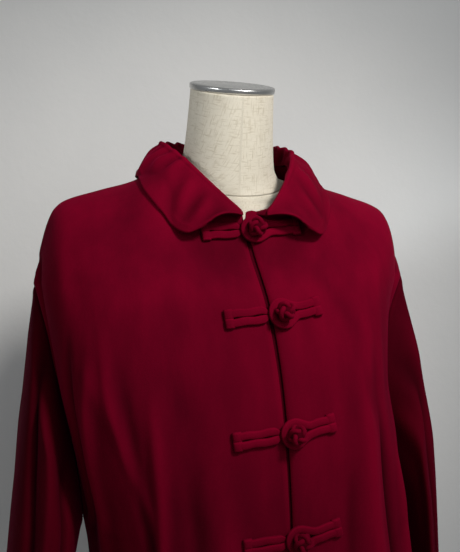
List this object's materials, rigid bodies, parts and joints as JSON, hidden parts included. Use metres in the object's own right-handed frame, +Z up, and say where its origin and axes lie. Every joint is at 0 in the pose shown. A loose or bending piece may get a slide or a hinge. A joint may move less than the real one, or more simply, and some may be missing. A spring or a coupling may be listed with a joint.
{
  "type": "velvet shirt on a dress form",
  "caption": "Loose long-sleeved velvet shirt with a turned-down collar and knotted frog fasteners down the front, on a limbless dress form with a round-based stand.",
  "frame": {"origin": "middle of the stand's underside, on the floor", "axes": "+Z up, -Y is the way the front opening faces, +X is the wearer's left"},
  "size_m": [0.527, 0.3733, 1.4351],
  "materials": {
    "crimson_velvet": "cotton velvet pile",
    "linen_cover": "plain-woven linen",
    "polished_steel": "polished",
    "base_enamel": "satin enamel"
  },
  "bodies": {
    "root": {"front_right": "crimson_velvet", "front_left": "crimson_velvet", "back": "crimson_velvet", "sleeve_right": "crimson_velvet", "sleeve_left": "crimson_velvet", "collar": "crimson_velvet", "underlap": "crimson_velvet", "frog_1_ball_strip": "crimson_velvet", "frog_1_ball_tab": "crimson_velvet", "frog_1_loop": "crimson_velvet", "frog_1_loop_tab": "crimson_velvet", "frog_1_ball": "crimson_velvet", "frog_2_ball_strip": "crimson_velvet", "frog_2_ball_tab": "crimson_velvet", "frog_2_loop": "crimson_velvet", "frog_2_loop_tab": "crimson_velvet", "frog_2_ball": "crimson_velvet", "frog_3_ball_strip": "crimson_velvet", "frog_3_ball_tab": "crimson_velvet", "frog_3_loop": "crimson_velvet", "frog_3_loop_tab": "crimson_velvet", "frog_3_ball": "crimson_velvet", "frog_4_ball_strip": "crimson_velvet", "frog_4_ball_tab": "crimson_velvet", "frog_4_loop": "crimson_velvet", "frog_4_loop_tab": "crimson_velvet", "frog_4_ball": "crimson_velvet", "frog_5_ball_strip": "crimson_velvet", "frog_5_ball_tab": "crimson_velvet", "frog_5_loop": "crimson_velvet", "frog_5_loop_tab": "crimson_velvet", "frog_5_ball": "crimson_velvet", "form_torso": "linen_cover", "form_neck": "linen_cover", "form_cap": "polished_steel", "stand_pole": "polished_steel", "stand_collar": "polished_steel", "stand_base": "base_enamel"}
  },
  "joints": []
}
